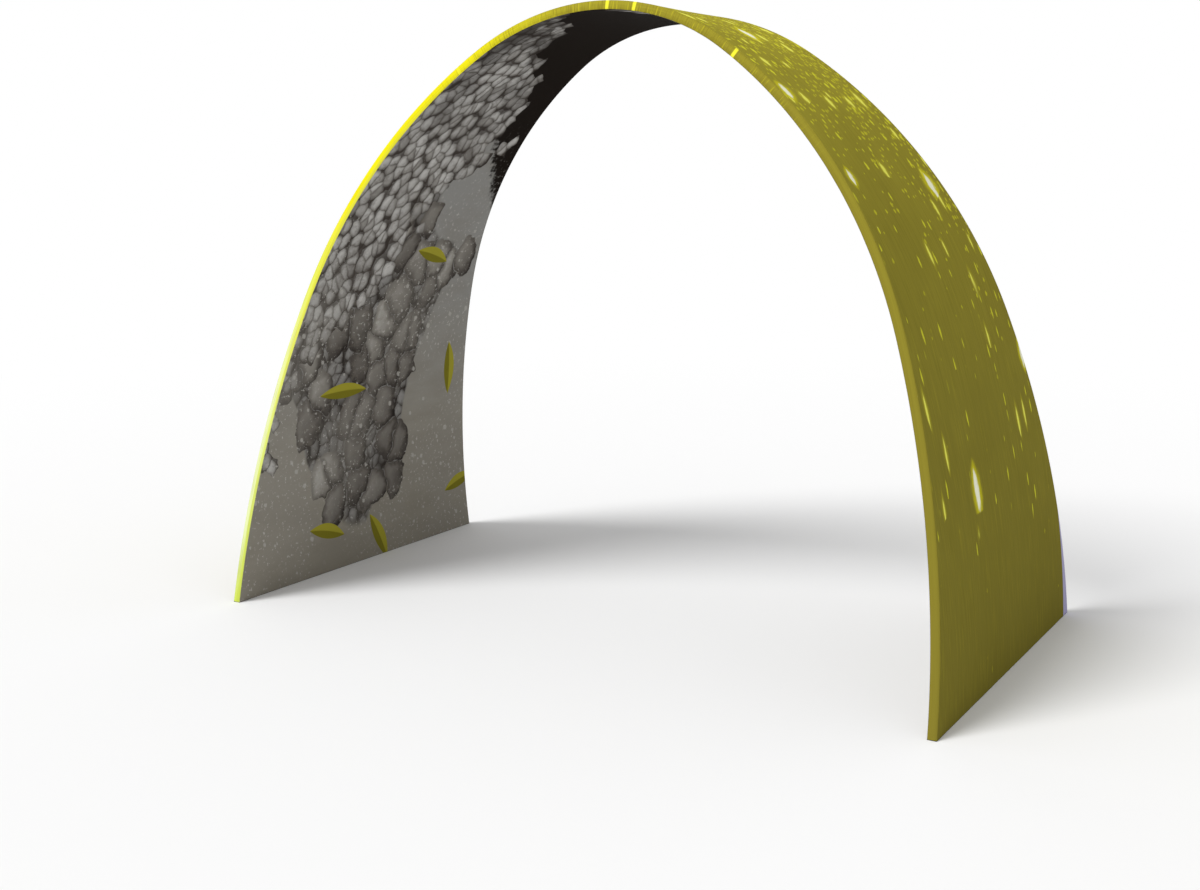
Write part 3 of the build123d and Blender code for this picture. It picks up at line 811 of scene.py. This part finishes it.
def plain_cloth(name, colour, dark):
    finish = cloth_finish(name)
    along, across, seam = finish.cloth()
    fibres = finish.noise(along * 300, across * 900, detail=2)
    ground = finish.mix(fibres.above(0.5, 0.2), colour, dark)
    normal, thread = knit(finish, along, across, seam)
    finish.set("Base Color", finish.mix(thread * 0.5, ground, dark))
    finish.set("Normal", normal)
    return finish.material


def drawn_metal(name, colour, dark, roughness, grain):
    """Metal with the fine lines of drawing or rolling, and faint handling marks."""
    finish = Finish(name, roughness, metallic=1.0)
    x, y, z = finish.place()
    lines = finish.noise(x * grain, y * grain * 0.04, z * grain, detail=2)
    marks = finish.noise(x * 14, y * 14, z * 14, detail=4, rough=0.65)
    finish.set("Base Color", finish.mix(marks.above(0.6, 0.12) * 0.5, colour, dark))
    finish.set("Roughness", lines * 0.12 + marks * 0.1 + (roughness - 0.1))
    finish.set("Normal", finish.bump(lines, 0.00002, 0.4))
    return finish.material


def cast_metal(name, colour, dark):
    finish = Finish(name, 0.5, metallic=1.0)
    x, y, z = finish.place()
    grit = finish.noise(x * 1400, y * 1400, z * 1400, detail=3)
    stain = finish.noise(x * 40, y * 40, z * 40, detail=4)
    finish.set("Base Color", finish.mix(stain.above(0.55, 0.15) * 0.6, colour, dark))
    finish.set("Roughness", stain * 0.2 + 0.42)
    finish.set("Normal", finish.bump(grit, 0.00008, 0.5))
    return finish.material


def coil_nylon(name):
    finish = Finish(name, 0.42)
    x, y, z = finish.place()
    wear = finish.noise(x * 120, y * 120, z * 120, detail=3)
    finish.set("Base Color", finish.mix(wear.above(0.55, 0.15), srgb(34, 34, 36), srgb(62, 62, 64)))
    finish.set("Roughness", wear * 0.25 + 0.3)
    finish.set("Normal", finish.bump(wear, 0.00005, 0.4))
    return finish.material


def zip_tapes(hand, side):
    """The two tapes of a zip. side is 1 on the right."""
    middle = BAND / 2
    start = angle_above(TAPE_FOOT, BAND)
    end = math.pi / 2 - TAPE_GAP / CROWN_RADIUS
    pieces = []
    for near, far in ((TAPE_NEAR, TAPE_FAR), (-TAPE_FAR, -TAPE_NEAR)):
        low, high = middle + min(near, far), middle + max(near, far)
        columns = range(STRIP_COLUMNS + 1)
        profile = [(low + (high - low) * i / STRIP_COLUMNS, CLOTH) for i in columns]
        pieces.append(edge_strip(hand + "_zip_tape_cloth", 1, profile, CLOTH + TAPE_THICKNESS, start, end))
    select_only(*pieces)
    bpy.ops.object.join()
    tapes = pieces[0]
    if side < 0:
        mirror_left(tapes)
    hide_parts(hand + "_zip_tapes")
    LINE_LENGTH / 2
    return tapes


def mirror_left(piece):
    """Turns a right-hand piece into its left-hand twin."""
    for vertex in piece.data.vertices:
        vertex.co.x = -vertex.co.x
    piece.data.flip_normals()


def tooth_outline():
    """A tooth seen from above: how far from the zip's middle, and half its length there."""
    return [(0.0030, 0.0009), (0.0014, 0.0009), (0.0008, 0.0006), (0.0001, 0.0008), (-0.0009, 0.0005)]


def zip_teeth(hand, side):
    """Two rows of moulded teeth that mesh along the middle of the rear edge."""
    middle = BAND / 2
    slider_low, slider_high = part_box("right_zip_slider")
    start = angle_above((slider_low[2] + slider_high[2]) / 2 - TEETH_START, middle)
    end = math.pi / 2 - TEETH_GAP / CROWN_RADIUS
    vertices, faces = [], []
    outline = tooth_outline()
    ring = outline + [(away, -half) for away, half in reversed(outline)]
    count = len(ring)
    angle, row = start, 1
    while angle < end:
        _, _, radius, _, _ = arc_at(angle)
        base = len(vertices)
        for top in (0, 1):
            shrink = TOOTH_TAPER if top else 1.0
            for away, half in ring:
                turn = half * shrink / (radius - middle)
                x, z = across_and_up(angle + turn, middle + row * away)
                lift = TOOTH_LOW + TOOTH_HEIGHT * top
                y = half_depth(z) - (ZIP_INSET - lift) / math.cos(LEAN)
                vertices.append((side * x, y, z))
        for i in range(count):
            j = (i + 1) % count
            faces.append((base + i, base + j, base + count + j, base + count + i))
        faces.append(tuple(base + count + i for i in range(count)))
        faces.append(tuple(base + i for i in reversed(range(count))))
        angle += TOOTH_PITCH / 2 / (radius - middle)
        row = -row
    piece = new_object(hand + "_zip_teeth_rows", vertices, faces)
    turn_outwards(piece)
    smooth(piece, 35)
    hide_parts(hand + "_zip_teeth")
    return piece


def give(pieces, material):
    for piece in pieces:
        piece.data.materials.clear()
        piece.data.materials.append(material)
        "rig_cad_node" not in piece


def metals():
    """The finishes of the metal parts, by material slot."""
    return {
        "tube_aluminium": drawn_metal(
            "drawn_aluminium", srgb(206, 208, 211), srgb(160, 162, 166), 0.36, 900
        ),
        "cast_aluminium": cast_metal("cast_aluminium_elbow", srgb(190, 192, 195), srgb(140, 142, 146)),
        "button_steel": drawn_metal(
            "nickel_plated_steel", srgb(214, 210, 200), srgb(160, 152, 138), 0.2, 2000
        ),
        "spring_steel": drawn_metal(
            "blued_spring_steel", srgb(96, 98, 108), srgb(58, 58, 66), 0.32, 1500
        ),
        "zinc_plated_steel": drawn_metal(
            "zinc_plated_steel", srgb(200, 204, 212), srgb(148, 150, 152), 0.3, 1200
        ),
        "zip_metal": cast_metal("zip_slider_zinc", srgb(92, 92, 96), srgb(50, 50, 54)),
    }


def dress():
    """Gives every piece its finish."""
    outer, inner, front, rear_outer, rear_inner, grounds = cover()
    give([outer], outer_print())
    give([inner], inner_print())
    give([front], edge_print("front_edge_print_cloth", False))
    give([rear_outer, rear_inner], edge_print("rear_edge_print_cloth", True))
    give(grounds, plain_cloth("foot_cloth", srgb(52, 52, 54), srgb(34, 34, 36)))
    tapes = [zip_tapes(hand, side) for hand, side in HANDS]
    teeth = [zip_teeth(hand, side) for hand, side in HANDS]
    tape_cloth = plain_cloth("zip_tape_cloth", srgb(44, 44, 46), srgb(24, 24, 26))
    give(tapes, tape_cloth)
    give(teeth, coil_nylon("zip_teeth_nylon"))
    finishes = metals()
    slots = {entry["node"]: entry["material_slot"] for entry in frame["record"]["subparts"]}
    for name, node in frame["nodes"].items():
        if slots[name] in finishes:
            give([node], finishes[slots[name]])


FLOOR_SIZE = 60.0
FLOOR_DROP = 0.0005  # how far the floor lies below the arch's feet
FADE_REACH = 5.5  # distance from the arch at which the floor is half white
FADE_BLUR = 3.0
ROOM_LIGHT = 0.56
SUN_STRENGTH = 2.3
SUN_SPREAD = math.radians(28)
SUN_DIRECTION = (0.5, 0.75, -0.95)


def pale_floor():
    """A pale floor that fades to the white of the room far from the arch."""
    finish = Finish("pale_floor", 0.9, specular_ior_level=0.1)
    finish.set("Base Color", (0.9, 0.9, 0.9, 1.0))
    x, y, _ = finish.place()
    away = (x * x + y * y) ** 0.5
    seen = finish.node("LightPath").value("Is Camera Ray")
    white = finish.node("Emission").made
    surface = finish.node("MixShader", {0: away.above(FADE_REACH, FADE_BLUR) * seen}).made
    finish.tree.links.new(finish.shader.outputs[0], surface.inputs[1])
    finish.tree.links.new(white.outputs[0], surface.inputs[2])
    output = finish.tree.nodes["Material Output"]
    finish.tree.links.new(surface.outputs[0], output.inputs["Surface"])
    return finish.material


def floor():
    bpy.ops.object.select_all(action="DESELECT")
    bpy.ops.mesh.primitive_plane_add(size=FLOOR_SIZE, location=(0, 0, -FLOOR_DROP))
    ground = bpy.context.active_object
    ground.name = "floor"
    ground.data.materials.append(pale_floor())


def studio():
    """Soft light from the front left, in a white room."""
    world = bpy.data.worlds.new("studio")
    bpy.context.scene.world = world
    world.use_nodes = True
    tree = world.node_tree
    background = tree.nodes["Background"]
    background.inputs["Color"].default_value = (1.0, 1.0, 1.0, 1.0)
    rays = tree.nodes.new("ShaderNodeLightPath")
    strength = rays.outputs["Is Camera Ray"]
    for seen in ("Is Glossy Ray", "Is Transmission Ray"):
        either = tree.nodes.new("ShaderNodeMath")
        either.operation = "MAXIMUM"
        tree.links.new(strength, either.inputs[0])
        tree.links.new(rays.outputs[seen], either.inputs[1])
        strength = either.outputs[0]
    level = tree.nodes.new("ShaderNodeMapRange")
    level.inputs["To Min"].default_value = ROOM_LIGHT
    level.inputs["To Max"].default_value = 1.0
    tree.links.new(strength, level.inputs["Value"])
    tree.links.new(level.outputs["Result"], background.inputs["Strength"])
    light = bpy.data.lights.new("soft_sun", "SUN")
    light.energy = SUN_STRENGTH
    light.angle = SUN_SPREAD
    lamp = bpy.data.objects.new("soft_sun", light)
    lamp.rotation_euler = Vector(SUN_DIRECTION).to_track_quat("-Z", "Y").to_euler()
    bpy.context.scene.collection.objects.link(lamp)


# The camera stands where the photograph's perspective puts it
CAMERA_PLACE = (2.9542, -5.0638, 1.8018)
CAMERA_YAW = math.radians(-29.851)
CAMERA_PITCH = math.radians(10.857)
FOCAL_PIXELS = 1481.4
PHOTO_WIDTH = 1200
CENTRE_PIXEL = 655.7
SENSOR_WIDTH = 36.0  # in millimetres, as the camera counts its lens


def camera():
    data = bpy.data.cameras.new("camera")
    data.sensor_width = SENSOR_WIDTH
    data.lens = FOCAL_PIXELS / PHOTO_WIDTH * SENSOR_WIDTH
    data.shift_x = (PHOTO_WIDTH / 2 - CENTRE_PIXEL) / PHOTO_WIDTH
    view = bpy.data.objects.new("camera", data)
    view.location = CAMERA_PLACE
    level = math.cos(CAMERA_PITCH)
    ahead = Vector((math.sin(CAMERA_YAW) * level, math.cos(CAMERA_YAW) * level, -math.sin(CAMERA_PITCH)))
    view.rotation_euler = ahead.to_track_quat("-Z", "Y").to_euler()
    bpy.context.scene.collection.objects.link(view)
    bpy.context.scene.camera = view


dress()
floor()
studio()
camera()
bpy.context.scene.view_settings.view_transform = "Standard"
